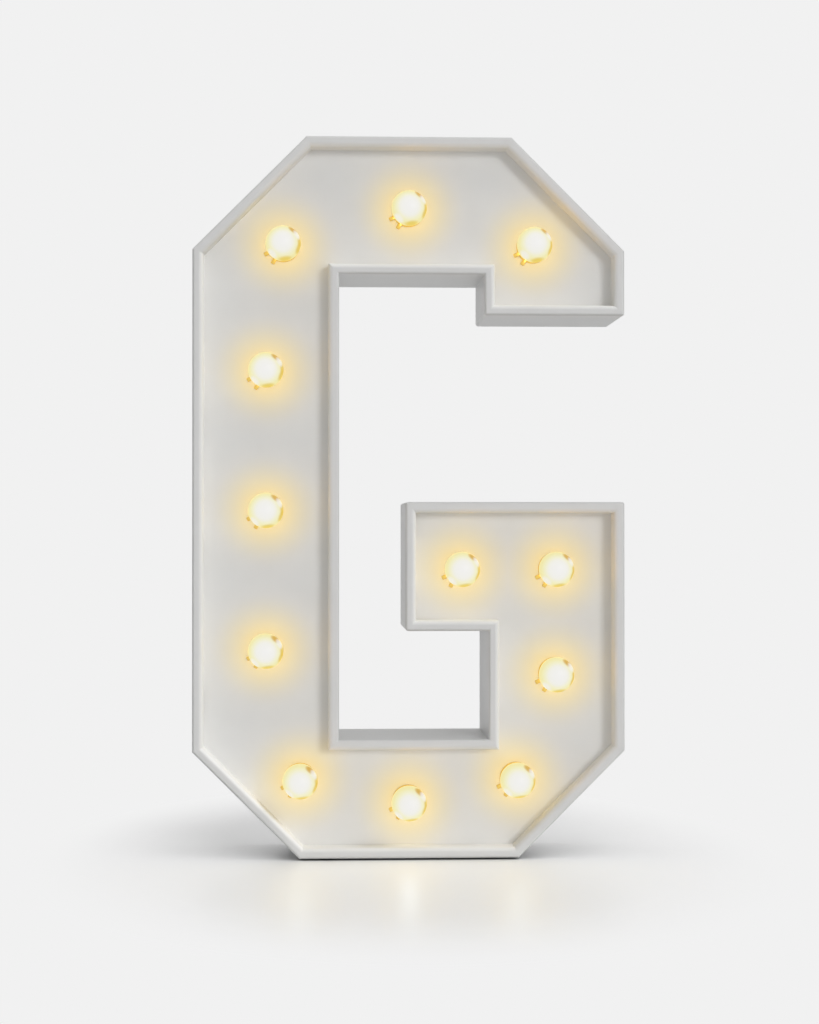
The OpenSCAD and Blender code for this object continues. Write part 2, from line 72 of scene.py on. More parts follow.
def linear(hex_colour):
    """An sRGB hex colour as linear RGBA."""
    parts = [int(hex_colour[i : i + 2], 16) / 255 for i in (1, 3, 5)]
    return *(c / 12.92 if c <= 0.04045 else ((c + 0.055) / 1.055) ** 2.4 for c in parts), 1


def add(tree, kind, inputs, **settings):
    """Adds a node, sets it up, and fills or links its inputs."""
    node = tree.nodes.new("ShaderNode" + kind)
    for name, value in settings.items():
        setattr(node, name, value)
    for name, value in inputs.items():
        if isinstance(value, bpy.types.NodeSocket):
            tree.links.new(value, node.inputs[name])
        else:
            node.inputs[name].default_value = value
    return node


def start_material(name, **constants):
    """A new material, with its shader's constants set, its nodes, its shader and Object coordinates."""
    material = bpy.data.materials.new(name)
    material.use_nodes = True
    tree = material.node_tree
    shader = tree.nodes["Principled BSDF"]
    for socket, value in constants.items():
        shader.inputs[socket.replace("_", " ")].default_value = value
    return material, tree, shader, add(tree, "TexCoord", {}).outputs["Object"]


def per_mm(size):
    """Scale of a pattern whose features are about that many millimetres across."""
    return 1 / (size * MM)


def speckled(name, light, dark, cloud, grain, relief, gloss, **constants):
    """A finish of two close tones in clouds of so many millimetres, with a finer grain in its sheen."""
    material, tree, shader, place = start_material(name, **constants)
    clouds = add(tree, "TexNoise", {"Vector": place, "Scale": per_mm(cloud), "Detail": 3})
    tint = add(tree, "Mix", {0: clouds.outputs[0], 6: linear(dark), 7: linear(light)}, data_type="RGBA")
    grains = add(tree, "TexNoise", {"Vector": place, "Scale": per_mm(grain), "Detail": 1})
    dull = add(tree, "MapRange", {"Value": grains.outputs[0], "To Min": gloss[0], "To Max": gloss[1]})
    bump = add(tree, "Bump", {"Height": grains.outputs[0], "Strength": 0.3, "Distance": relief * MM})
    tree.links.new(tint.outputs[2], shader.inputs["Base Color"])
    tree.links.new(dull.outputs[0], shader.inputs["Roughness"])
    tree.links.new(bump.outputs[0], shader.inputs["Normal"])
    return material


def dress(material, *names):
    """Gives CAD nodes a material in place of their plain one."""
    for name in names:
        mesh = nodes[name].data
        mesh.materials.clear()
        mesh.materials.append(material)


# Sprayed paint looks near even: broad, barely darker clouds,
# and a peel of about 2 mm that breaks up the sheen.
satin_white_paint = speckled(
    "satin_white_paint", "#e9e9e8", "#e4e4e3", cloud=90, grain=2.2, relief=0.05, gloss=(0.38, 0.5), IOR=1.5
)
dress(satin_white_paint, *[name for name in nodes if name.startswith("wall_")])

# Face panel: a thin plywood sheet let in behind the rim, with twelve round holes for the lampholders.
# It was rolled with the same white in two coats, which dry flatter and cloudier than on the boards.
rolled_white_paint = speckled(
    "rolled_white_paint", "#efefee", "#e9e9e8", cloud=60, grain=3, relief=0.08, gloss=(0.45, 0.6), IOR=1.5
)
# The bulbs' glow is painted into it as a pale yellow tint, from the edge of each lampholder outwards.
GLOW_TINT, GLOW_TINT_START, GLOW_TINT_END = "#efeacf", 28, 100
BULBS = range(1, 13)
tree = rolled_white_paint.node_tree
paint = tree.nodes["Principled BSDF"].inputs["Base Color"]
place = tree.nodes["Texture Coordinate"].outputs["Object"]
nearest = 1
for k in BULBS:
    low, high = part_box(f"bulb_{k}_globe")
    hole = (low.x + high.x) / 2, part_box("face_panel")[0].y, (low.z + high.z) / 2
    away = add(tree, "VectorMath", {0: place, 1: hole}, operation="DISTANCE").outputs["Value"]
    nearest = add(tree, "Math", {0: nearest, 1: away}, operation="MINIMUM").outputs[0]
# Painted light: the tint of the bulbs' glow, full at the lampholder and gone further out.
painted_glow = add(
    tree,
    "MapRange",
    {"Value": nearest, "From Min": GLOW_TINT_START * MM, "From Max": GLOW_TINT_END * MM, "To Min": 1, "To Max": 0},
    interpolation_type="SMOOTHSTEP",
)
tint = add(
    tree,
    "Mix",
    {0: painted_glow.outputs[0], 6: paint.links[0].from_socket, 7: linear(GLOW_TINT)},
    data_type="RGBA",
)
tree.links.new(tint.outputs[2], paint)
dress(rolled_white_paint, "face_panel")

# Battens: square pine strips glued round the inside of the walls, one set for each panel to sit on.
# They are bare planed pine, pale yellow, with darker growth lines that run along each strip.
planed_pine, tree, shader, place = start_material("planed_pine", Roughness=0.65, IOR=1.45)
growth = add(
    tree,
    "TexWave",
    {"Vector": place, "Scale": per_mm(20), "Distortion": 3, "Detail": 2, "Detail Scale": 0.6},
    bands_direction="Y",
)
grain = add(tree, "Mix", {0: growth.outputs[1], 6: linear("#d9b582"), 7: linear("#ead1a6")}, data_type="RGBA")
tree.links.new(grain.outputs[2], shader.inputs["Base Color"])
dress(planed_pine, "face_panel_battens", "back_panel_battens")

# Back panel: a plywood sheet that closes the letter from behind, rolled with white as the face panel is.
# Pan-head screws hold it to the battens, so that it comes off to reach the wiring.
dress(rolled_white_paint, "back_panel")

# Back panel screws: zinc-plated steel, pan-head, with a cross recess.
# The plating is bright grey with a slight blue cast, and dulls unevenly where it has been handled.
zinc_plated_steel = speckled(
    "zinc_plated_steel", "#c9ccd0", "#a9adb3", cloud=3, grain=0.6, relief=0.02, gloss=(0.25, 0.42), Metallic=1
)


def solids(name):
    """The lowest and highest corner of each separate solid in a CAD node."""
    bm = bmesh.new()
    bm.from_mesh(nodes[name].data)
    bmesh.ops.remove_doubles(bm, verts=bm.verts, dist=0.001 * MM)
    waiting, boxes = set(bm.verts), []
    while waiting:
        group, front = set(), [waiting.pop()]
        while front:
            vert = front.pop()
            group.add(vert)
            near = {e.other_vert(vert) for e in vert.link_edges} & waiting
            waiting -= near
            front.extend(near)
        axes = list(zip(*(v.co for v in group)))
        boxes.append((Vector(map(min, axes)), Vector(map(max, axes))))
    bm.free()
    return boxes


def turned(bm, profile, steps, place):
    """Spins a profile of [radius, height] in millimetres about the height axis and puts it in place."""
    old = set(bm.verts)
    points = [bm.verts.new((r * MM, 0, h * MM)) for r, h in profile]
    edges = [bm.edges.new(pair) for pair in zip(points, points[1:])]
    bmesh.ops.spin(
        bm,
        geom=points + edges,
        cent=(0, 0, 0),
        axis=(0, 0, 1),
        angle=2 * math.pi,
        steps=steps,
        use_merge=True,
        use_duplicate=False,
    )
    bmesh.ops.remove_doubles(bm, verts=[v for v in bm.verts if v not in old], dist=0.001 * MM)
    made = [v for v in bm.verts if v not in old]
    bmesh.ops.transform(bm, matrix=place, verts=made)
    return made


def keep(bm, name, body, slot, replaced, *materials, crease=40):
    """Makes a bmesh a smooth-shaded piece that rides on a body and stands for CAD nodes."""
    bmesh.ops.remove_doubles(bm, verts=bm.verts, dist=0.005 * MM)
    bmesh.ops.recalc_face_normals(bm, faces=bm.faces)
    mesh = bpy.data.meshes.new(name)
    bm.to_mesh(mesh)
    bm.free()
    for material in materials:
        mesh.materials.append(material)
    mesh.shade_smooth()
    mesh.set_sharp_from_angle(angle=math.radians(crease))
    piece = bpy.data.objects.new(name, mesh)
    scene.collection.objects.link(piece)
    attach(piece, body)
    if replaced:
        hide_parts(*replaced)
    return piece


BACKWARDS = Matrix.Rotation(-math.pi / 2, 4, "X")
# The head's rounding as shares of its radius and height.
PAN_DOME = [(1, 0.35), (0.93, 0.7), (0.75, 0.93)]
# The cross recess as shares of the head: its reach, the waist between arms, the floor's taper and the depth.
RECESS_REACH, RECESS_WAIST, RECESS_TAPER, RECESS_DEPTH = 0.52, 0.45, 0.6, 0.55
RECESS_ARM = math.radians(20)


def pan_head_screw(bm, low, high, shank, head_h):
    """A screw in that box, its head at the high y end, with a cross recess in the head."""
    head_r = (high.x - low.x) / 2 / MM
    length = (high.y - low.y) / MM - head_h
    profile = [
        (0, -length),
        (shank / 2, -length + shank),
        (shank / 2, 0),
        (head_r, 0),
        *[(r * head_r, h * head_h) for r, h in PAN_DOME],
        (RECESS_REACH * head_r, head_h),
    ]
    centre = Vector(((low.x + high.x) / 2, high.y - head_h * MM, (low.z + high.z) / 2))
    made = turned(bm, profile, 24, Matrix.Translation(centre) @ BACKWARDS)
    lip = list({e for v in made for e in v.link_edges if e.is_boundary})
    for v in {v for e in lip for v in e.verts}:
        offset = v.co - centre
        if abs(math.remainder(math.atan2(offset.z, offset.x), math.pi / 2)) > RECESS_ARM:
            v.co.x, v.co.z = centre.x + offset.x * RECESS_WAIST, centre.z + offset.z * RECESS_WAIST
    made = bmesh.ops.extrude_edge_only(bm, edges=lip)["geom"]
    for v in made:
        if isinstance(v, bmesh.types.BMVert):
            v.co.x = centre.x + (v.co.x - centre.x) * RECESS_TAPER
            v.co.z = centre.z + (v.co.z - centre.z) * RECESS_TAPER
            v.co.y = high.y - RECESS_DEPTH * head_h * MM
    bmesh.ops.contextual_create(bm, geom=[e for e in made if isinstance(e, bmesh.types.BMEdge)])


bm = bmesh.new()
for low, high in solids("back_panel_screws"):
    pan_head_screw(bm, low, high, shank=4, head_h=2.6)
keep(bm, "panel_screws", "letter", "zinc_screw", ["back_panel_screws"], zinc_plated_steel)

# Feet: four moulded rubber discs nailed under the base, which lift the paint off the floor.
# The rubber is dull black, with a rounded lower edge and a fine moulded grain.
black_rubber = speckled(
    "black_rubber", "#2c2c2d", "#222223", cloud=8, grain=0.8, relief=0.06, gloss=(0.7, 0.85), IOR=1.5
)
FOOT_EDGE, FOOT_CORNER = 1.2, 0.36
bm = bmesh.new()
for low, high in solids("feet"):
    radius, height = (high.x - low.x) / 2 / MM, (high.z - low.z) / MM
    profile = [
        (0, 0),
        (radius - FOOT_EDGE, 0),
        (radius - FOOT_CORNER, FOOT_CORNER),
        (radius, FOOT_EDGE),
        (radius, height),
        (0, height),
    ]
    turned(bm, profile, 48, Matrix.Translation(((low.x + high.x) / 2, (low.y + high.y) / 2, low.z)))
keep(bm, "rubber_feet", "letter", "foot_rubber", ["feet"], black_rubber)

# Lampholders: moulded urea sockets pushed through the panel from behind, with a flange against its back.
# The plastic is ivory and slightly glossy, with a faint flow in its colour.
moulded_urea = speckled(
    "moulded_urea", "#ece5d3", "#e2d9c4", cloud=25, grain=1.2, relief=0.02, gloss=(0.3, 0.42), IOR=1.55
)
dress(moulded_urea, "lampholders")

# Lampholder rings: spun brass rings that screw onto the lampholders and clamp them to the panel.
# Each has a knurled edge, a dished front and two lugs to turn it by, and is polished to a pale gold.
spun_brass, tree, shader, place = start_material("spun_brass", Metallic=1)
worn = add(tree, "TexNoise", {"Vector": place, "Scale": per_mm(12), "Detail": 3})
tone = add(tree, "Mix", {0: worn.outputs[0], 6: linear("#e8c060"), 7: linear("#f4d878")}, data_type="RGBA")
dull = add(tree, "MapRange", {"Value": worn.outputs[0], "To Min": 0.28, "To Max": 0.42})
tree.links.new(tone.outputs[2], shader.inputs["Base Color"])
tree.links.new(dull.outputs[0], shader.inputs["Roughness"])
FORWARDS = Matrix.Rotation(math.pi / 2, 4, "X")
RING_R, RING_BORE_R, RING_STEPS = 28, 19.8, 96
# Over the dished front, from the edge to the bore: the radius and the share of the ring's thickness.
RING_FRONT = [(RING_R, 0.6), (27.2, 0.82), (25, 0.86), (23, 1), (20.6, 1), (RING_BORE_R, 0.82)]
KNURL_DEPTH = 0.35
LUG_W, LUG_ROOT, LUG_END, LUG_ROUND = 7, 24, 36, 1.4
LUG_TURNS = (211.5, 244.5)


def rounded(bm, edges, radius, segments):
    """Rounds edges by that many millimetres, and no further than their faces allow."""
    bmesh.ops.bevel(
        bm,
        geom=edges,
        offset=radius * MM,
        segments=segments,
        profile=0.5,
        affect="EDGES",
        material=-1,
        clamp_overlap=True,
    )


bm = bmesh.new()
for low, high in solids("lampholder_rings"):
    centre = Vector((high.x - RING_R * MM, high.y, high.z - RING_R * MM))
    thick = (high.y - low.y) / MM
    front = [(r, share * thick) for r, share in RING_FRONT]
    profile = [(RING_BORE_R, 0), (RING_R, 0), *front, (RING_BORE_R, 0)]
    for v in turned(bm, profile, RING_STEPS, Matrix.Translation(centre) @ FORWARDS):
        offset = Vector((v.co.x - centre.x, 0, v.co.z - centre.z))
        tooth = round(math.atan2(offset.z, offset.x) / (2 * math.pi) * RING_STEPS)
        if tooth % 2 and offset.length > (RING_R - 0.1) * MM:
            v.co -= offset.normalized() * KNURL_DEPTH * MM
    for degrees in LUG_TURNS:
        lug = (
            Matrix.Translation(centre)
            @ Matrix.Rotation(math.radians(degrees), 4, "Y")
            @ Matrix.Translation(Vector((0, -thick / 2, (LUG_ROOT + LUG_END) / 2)) * MM)
            @ Matrix.Diagonal((LUG_W * MM, thick * MM, (LUG_END - LUG_ROOT) * MM, 1))
        )
        made = bmesh.ops.create_cube(bm, size=1, matrix=lug)["verts"]
        rounded(bm, list({e for v in made for e in v.link_edges}), LUG_ROUND, 3)
rings = keep(bm, "clamping_rings", "letter", "brass_ring", ["lampholder_rings"], spun_brass, crease=30)

# Bulb caps: rolled nickel-plated brass shells with a rounded thread, crimped onto the neck of the glass.
# A black glass insulator closes the end and carries a soldered tin contact.
rolled_nickel = speckled(
    "rolled_nickel", "#cfcac0", "#b9b4aa", cloud=6, grain=1, relief=0.02, gloss=(0.2, 0.34), Metallic=1
)
black_glass = speckled(
    "black_glass", "#1c1a1a", "#141313", cloud=6, grain=1, relief=0.01, gloss=(0.12, 0.2), IOR=1.52
)
tin_solder = speckled(
    "tin_solder", "#b8bbbd", "#9ea1a4", cloud=2, grain=0.7, relief=0.05, gloss=(0.3, 0.45), Metallic=1
)
THREAD_PITCH, THREAD_DEPTH, THREAD_START = 3.6, 1.1, 3.2
# The crimped rim and the shell's rolled end: how far each stands in from the thread, and its height.
RIM_IN, RIM_H, ROLL_IN, ROLL_H = 0.6, 2, 1.4, 1.2
# The end, from the shell to the crown of the contact: out from the contact's side and up from the shell.
CONTACT_R, END_H = 4.75, 4
CAP_END = [(2.2, 0), (0.2, 1.6), (0, 1.8), (0, 3.2), (-1, END_H)]
# Where the glass and the solder begin, up from the shell.
GLASS_FROM, SOLDER_FROM = -0.6, 1.7
for k in BULBS:
    low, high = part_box(f"bulb_{k}_cap")
    radius, length = (high.x - low.x) / 2 / MM, (high.y - low.y) / MM
    shell = length - END_H
    profile = [(0, 0), (radius - RIM_IN, 0), (radius - RIM_IN, RIM_H)]
    root = THREAD_START
    while root + THREAD_PITCH < shell - RIM_H:
        profile += [(radius - THREAD_DEPTH, root), (radius, root + THREAD_PITCH / 2)]
        root += THREAD_PITCH
    profile += [
        (radius - THREAD_DEPTH, root),
        (radius - ROLL_IN, shell - ROLL_H),
        *[(CONTACT_R + out, shell + up) for out, up in CAP_END],
        (0, length),
    ]
    bm = bmesh.new()
    centre = Vector(((low.x + high.x) / 2, low.y, (low.z + high.z) / 2))
    turned(bm, profile, 40, Matrix.Translation(centre) @ BACKWARDS)
    for f in bm.faces:
        height = (f.calc_center_median().y - low.y) / MM
        f.material_index = 0 if height < shell + GLASS_FROM else 1 if height < shell + SOLDER_FROM else 2
    metals = rolled_nickel, black_glass, tin_solder
    keep(bm, f"cap_{k}", f"bulb_{k}", "lamp_cap", [f"bulb_{k}_cap"], *metals, crease=60)

# Globes: blown glass balls, frosted inside, with a short neck that runs down into the cap.
# Lit, they are white-hot in front and turn pale yellow towards the sides, and barely glint.
lit_frosted_glass, tree, shader, _ = start_material(
    "lit_frosted_glass",
    Base_Color=linear("#3c3428"),
    Roughness=0.45,
    IOR=1.5,
    Specular_IOR_Level=0.25,
    Emission_Strength=1,
)
# The glow from the front of the ball, at 0, past its widest place, at 0.5, to the neck.
GLOW_STOPS = [
    (0, "#ebebea"),
    (0.06, "#ebebe5"),
    (0.09, "#ebeade"),
    (0.13, "#eceacf"),
    (0.16, "#ebe9c6"),
    (0.234, "#ebe6b3"),
    (0.286, "#eae3a9"),
    (0.36, "#eae1a2"),
    (0.5, "#eadf9e"),
    (0.62, "#f0d070"),
]
# Painted reflections on the glow: the hour on a clock face seen from the front, the tilt to the front and the
# half-width in degrees, the colour and its strength. The amber patches and white highlights are painted on.
GLOW_REFLECTIONS = [
    (1.3, 24, 22, "#cda038", 0.9),
    (2.9, 16, 24, "#dab83a", 0.8),
    (3.7, 16, 25, "#dab83a", 0.8),
    (5.75, 15, 28, "#e0c244", 0.85),
    (2.05, 25, 22, "#ecebe8", 0.75),
    (7.45, 25, 24, "#ecebe8", 0.75),
]
MARK_CORE = math.radians(8)
place = add(tree, "Attribute", {}, attribute_name="globe_place").outputs["Vector"]
depth = add(tree, "SeparateXYZ", {"Vector": place}).outputs["Y"]
heat = add(tree, "MapRange", {"Value": depth, "From Min": -1, "From Max": 1})
ramp = add(tree, "ValToRGB", {"Fac": heat.outputs[0]})
for position, colour in GLOW_STOPS[2:]:
    ramp.color_ramp.elements.new(position)
for element, (position, colour) in zip(ramp.color_ramp.elements, GLOW_STOPS):
    element.position = position
    element.color = linear(colour)
glow = ramp.outputs["Color"]
# Each painted reflection or highlight blends its colour into the glow at its place on the ball.
for hour, tilt, width, colour, strength in GLOW_REFLECTIONS:
    turn, tilt = hour / 12 * 2 * math.pi, math.radians(tilt)
    way = math.sin(turn) * math.cos(tilt), -math.sin(tilt), math.cos(turn) * math.cos(tilt)
    near = add(tree, "VectorMath", {0: place, 1: way}, operation="DOT_PRODUCT")
    mark = add(
        tree,
        "MapRange",
        {
            "Value": near.outputs["Value"],
            "From Min": math.cos(math.radians(width)),
            "From Max": math.cos(MARK_CORE),
            "To Max": strength,
        },
        interpolation_type="SMOOTHSTEP",
    )
    glow = add(tree, "Mix", {0: mark.outputs[0], 6: glow, 7: linear(colour)}, data_type="RGBA").outputs[2]
tree.links.new(glow, shader.inputs["Emission Color"])


def loop_on(bm, edges, y, factor, centre):
    """Extrudes an open end loop to another depth and scales it about the axis. Gives the new loop's edges."""
    made = bmesh.ops.extrude_edge_only(bm, edges=edges)["geom"]
    for v in made:
        if isinstance(v, bmesh.types.BMVert):
            offset = (v.co - centre) * factor
            v.co = Vector((centre.x + offset.x, y, centre.z + offset.z))
    return [e for e in made if isinstance(e, bmesh.types.BMEdge)]


# The neck leaves the ball this share of the radius behind the centre and narrows by these steps to the cap.
NECK_START = 0.73
NECK_STEPS = [(0.83, 0.89), (0.91, 0.92), (1, 0.90)]
globes = []
for k in BULBS:
    low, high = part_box(f"bulb_{k}_globe")
    radius = (high.x - low.x) / 2
    centre = Vector(((low.x + high.x) / 2, low.y + radius, (low.z + high.z) / 2))
    bm = bmesh.new()
    upright = Matrix.Translation(centre) @ FORWARDS
    bmesh.ops.create_uvsphere(bm, u_segments=48, v_segments=32, radius=radius, matrix=upright)
    bmesh.ops.bisect_plane(
        bm,
        geom=bm.verts[:] + bm.edges[:] + bm.faces[:],
        plane_co=(0, centre.y + NECK_START * radius, 0),
        plane_no=(0, 1, 0),
        clear_outer=True,
    )
    end = [e for e in bm.edges if e.is_boundary]
    for share, factor in NECK_STEPS:
        end = loop_on(bm, end, centre.y + share * radius, factor, centre)
    bmesh.ops.edgeloop_fill(bm, edges=end)
    layer = bm.verts.layers.float_vector.new("globe_place")
    for v in bm.verts:
        v[layer] = (v.co - centre) / radius
    replaced = [f"bulb_{k}_globe"]
    globes.append(keep(bm, f"globe_{k}", f"bulb_{k}", "lit_globe", replaced, lit_frosted_glass, crease=75))

# Wiring: flexible cable from lampholder to lampholder and from the inlet to the junction box.
# The sheath is mid-grey PVC, matt from its talc, with a slight waviness.
pvc_sheath = speckled(
    "pvc_sheath", "#8d8e90", "#7f8082", cloud=15, grain=1.5, relief=0.05, gloss=(0.45, 0.6), IOR=1.53
)
dress(pvc_sheath, "lamp_wiring")

# Junction box and lid: moulded ABS, screwed to the back of the face panel, with spark-eroded sides.
# The lid is pressed on and takes the lead from the inlet. The plastic is pale grey and fairly matt.
grey_abs = speckled(
    "grey_abs", "#d4d5d4", "#c8c9c8", cloud=20, grain=0.9, relief=0.04, gloss=(0.45, 0.6), IOR=1.53
)


def softened(node, rounding):
    """A merged copy of a CAD node with its hard edges rounded by that many millimetres."""
    bm = bmesh.new()
    bm.from_mesh(nodes[node].data)
    bmesh.ops.remove_doubles(bm, verts=bm.verts, dist=0.001 * MM)
    bmesh.ops.dissolve_limit(bm, angle_limit=math.radians(1), verts=bm.verts, edges=bm.edges)
    hard = [e for e in bm.edges if e.is_manifold and e.calc_face_angle() > math.radians(30)]
    rounded(bm, hard, rounding, 2)
    return bm


for node in ("junction_box", "junction_lid"):
    keep(softened(node, 0.5), node + "_moulding", "letter", "junction_plastic", [node], grey_abs, crease=50)

# Power inlet: a moulded nylon housing let into the back panel, with a socket, a fuse drawer and a switch.
# The nylon is black and slightly glossy, with a fine texture and rounded edges.
black_nylon = speckled(
    "black_nylon", "#262627", "#1e1e1f", cloud=12, grain=0.7, relief=0.03, gloss=(0.35, 0.5), IOR=1.53
)
housing = softened("inlet_housing", 0.35)
keep(housing, "inlet_moulding", "letter", "inlet_plastic", ["inlet_housing"], black_nylon, crease=50)

# Contact pins: three brass blades pressed through the floor of the socket, with tabs for the leads behind.
# They are nickel-plated as the bulb caps are, and their edges are rounded so that a connector slides on.
blades = softened("inlet_pins", 0.3)
keep(blades, "contact_blades", "letter", "contact_metal", ["inlet_pins"], rolled_nickel, crease=50)

# Boot: a soft cover pushed over the back of the housing, which keeps fingers off the live tabs.
# It is moulded in the same dull black rubber as the feet, with well-rounded edges.
boot = softened("inlet_boot", 0.5)
keep(boot, "insulating_boot", "letter", "boot_rubber", ["inlet_boot"], black_rubber, crease=50)

# Inlet screws: two small pan-head screws through the housing's ears into the back panel.
# They are zinc-plated steel like the panel's own screws, only finer.
bm = bmesh.new()
for low, high in solids("inlet_screws"):
    pan_head_screw(bm, low, high, shank=3, head_h=2)
keep(bm, "ear_screws", "letter", "zinc_screw", ["inlet_screws"], zinc_plated_steel)

# Rocker switch: a moulded rocker that tips on two pins in the housing, pressed in at its top when it is on.
# It is glossy red nylon, with the usual line and circle printed on its two faces in white.
red_nylon = speckled(
    "red_nylon", "#a8201c", "#98191a", cloud=12, grain=0.7, relief=0.02, gloss=(0.2, 0.32), IOR=1.53
)
white_ink = speckled(
    "white_ink", "#f0f0ee", "#e6e6e4", cloud=4, grain=0.5, relief=0.01, gloss=(0.4, 0.5), IOR=1.5
)
rocker = softened("rocker_switch", 0.4)
keep(rocker, "rocker", "rocker", "rocker_plastic", ["rocker_switch"], red_nylon, crease=50)
ROCKER_DIP, ROCKER_RISE, ROCKER_R, ROCKER_TILT = 2.4, 5, 8, math.radians(10)
MARK, MARK_LINE, INK = 4.2, 0.9, 0.08
rocker_end = math.sqrt(ROCKER_R**2 - ROCKER_RISE**2)
slope = math.atan2(ROCKER_RISE - ROCKER_DIP, rocker_end)
pivot = next(Vector(j["pos_m"]) for j in frame["joints"] if j["name"] == "rocker_tilt")
bm = bmesh.new()
for half in (1, -1):
    middle = Vector((0, (ROCKER_DIP + ROCKER_RISE) / 2, half * rocker_end / 2)) * MM
    face = (
        Matrix.Translation(pivot)
        @ Matrix.Rotation(ROCKER_TILT, 4, "X")
        @ Matrix.Translation(middle)
        @ Matrix.Rotation(-half * slope, 4, "X")
    )
    if half > 0:
        bar = Matrix.Diagonal((MARK_LINE * MM, 2 * INK * MM, MARK * MM, 1))
        bmesh.ops.create_cube(bm, size=1, matrix=face @ bar)
    else:
        outer, inner = MARK / 2, MARK / 2 - MARK_LINE
        profile = [(inner, -INK), (outer, -INK), (outer, INK), (inner, INK), (inner, -INK)]
        turned(bm, profile, 40, face @ BACKWARDS)
keep(bm, "rocker_marks", "rocker", "rocker_plastic", [], white_ink)

# Fuse drawer: a small moulded tray that slides out of the housing, with a rib on its front to pull it by.
# It is the same black nylon as the housing.
bm = softened("fuse_drawer", 0.3)
low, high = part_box("fuse_drawer")
RIB, RIB_SUNK, RIB_ROUND = Vector((10, 1.2, 1.4)) * MM, 0.1, 0.3
rib_place = Vector(((low.x + high.x) / 2, high.y - RIB_SUNK * MM, (low.z + high.z) / 2))
rib = bmesh.ops.create_cube(bm, size=1, matrix=Matrix.Translation(rib_place) @ Matrix.Diagonal((*RIB, 1)))
rounded(bm, list({e for v in rib["verts"] for e in v.link_edges}), RIB_ROUND, 2)
keep(bm, "drawer", "fuse_carrier", "inlet_plastic", ["fuse_drawer"], black_nylon, crease=50)

# Fuse: a clear glass tube with nickel-plated end caps, which lies loose in the drawer.
# The glass is drawn, so it is near perfectly smooth, and the caps are crimped on a hair wider.
clear_glass = speckled(
    "clear_glass",
    "#f4f7f6",
    "#eaf0ee",
    cloud=5,
    grain=1,
    relief=0.005,
    gloss=(0.02, 0.06),
    IOR=1.52,
    Transmission_Weight=0.9,
)
low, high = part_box("fuse")
radius, length = (high.z - low.z) / 2 / MM, (high.x - low.x) / MM
END_CAP, END_EDGE, END_STEP = 5.2, 0.3, 0.15
profile = [(0, 0), (radius - END_EDGE, 0), (radius, END_EDGE)]
profile += [(radius, END_CAP), (radius - END_STEP, END_CAP)]
profile += [(r, length - h) for r, h in reversed(profile)]
centre = Vector((low.x, (low.y + high.y) / 2, (low.z + high.z) / 2))
bm = bmesh.new()
turned(bm, profile, 32, Matrix.Translation(centre) @ Matrix.Rotation(math.pi / 2, 4, "Y"))
for f in bm.faces:
    along = (f.calc_center_median().x - low.x) / MM
    f.material_index = 0 if END_CAP < along < length - END_CAP else 1
keep(bm, "cartridge_fuse", "fuse_carrier", "fuse_glass", ["fuse"], clear_glass, rolled_nickel, crease=50)

# Studio: a plain pale backdrop, soft white light from all round that is strongest from the front, a wide
# softbox overhead and a broad key lamp from the right. An edge lamp takes the key's place on some boards,
# a side lamp lights the floor alone, and a rear lamp lights all but the floor and the globes.
BACKDROP = (0.88, 0.88, 0.88, 1)
FILL_BACK, FILL_FRONT = 0.1, 0.38
world = bpy.data.worlds.new("studio")
scene.world = world
world.use_nodes = True
tree = world.node_tree
tree.nodes.clear()


def plain_sight(tree):
    """1 on rays from the camera, a mirror or glass, and 0 on the rays that carry light to a surface."""
    path = add(tree, "LightPath", {}).outputs
    sight = add(tree, "Math", {0: path["Is Camera Ray"], 1: path["Is Glossy Ray"]}, operation="MAXIMUM")
    sight = add(tree, "Math", {0: sight.outputs[0], 1: path["Is Transmission Ray"]}, operation="MAXIMUM")
    return sight.outputs[0]


way = add(tree, "TexCoord", {}).outputs["Generated"]
front = add(tree, "VectorMath", {0: way, 1: (0, -1, 0)}, operation="DOT_PRODUCT")
level = add(
    tree,
    "MapRange",
    {"Value": front.outputs["Value"], "From Min": -1, "To Min": FILL_BACK, "To Max": FILL_FRONT},
)
fill = add(tree, "Background", {"Color": (1, 1, 1, 1), "Strength": level.outputs[0]})
shown = add(tree, "Background", {"Color": BACKDROP})
sky = add(tree, "MixShader", {0: plain_sight(tree), 1: fill.outputs[0], 2: shown.outputs[0]})
add(tree, "OutputWorld", {"Surface": sky.outputs[0]})


def hang(light, location, target):
    """Puts a light in place, aimed at a point, and out of the camera's sight."""
    lamp = bpy.data.objects.new(light.name, light)
    lamp.location = location
    lamp.rotation_euler = (Vector(target) - Vector(location)).to_track_quat("-Z", "Y").to_euler()
    lamp.visible_camera = False
    scene.collection.objects.link(lamp)
    return lamp


# Each broad lamp's strength, its width in degrees, where it hangs and what it is aimed at.
SUNS = [
    ("key", 0.75, 18, (1.45, -3.1, 1.35), (0, 0, 0.6)),
    ("edge", 1.75, 20, (1, -0.62, 1), (0, 0, 0)),
    ("side", 1, 60, (0.4, -0.95, 1.1), (0, 0, 0)),
    ("rear", 0.9, 10, (0.4, 3, 0.6), (0, 0, 0.6)),
]
suns = {}
for name, energy, degrees, location, target in SUNS:
    light = bpy.data.lights.new(name, "SUN")
    light.energy = energy
    light.angle = math.radians(degrees)
    suns[name] = hang(light, location, target)
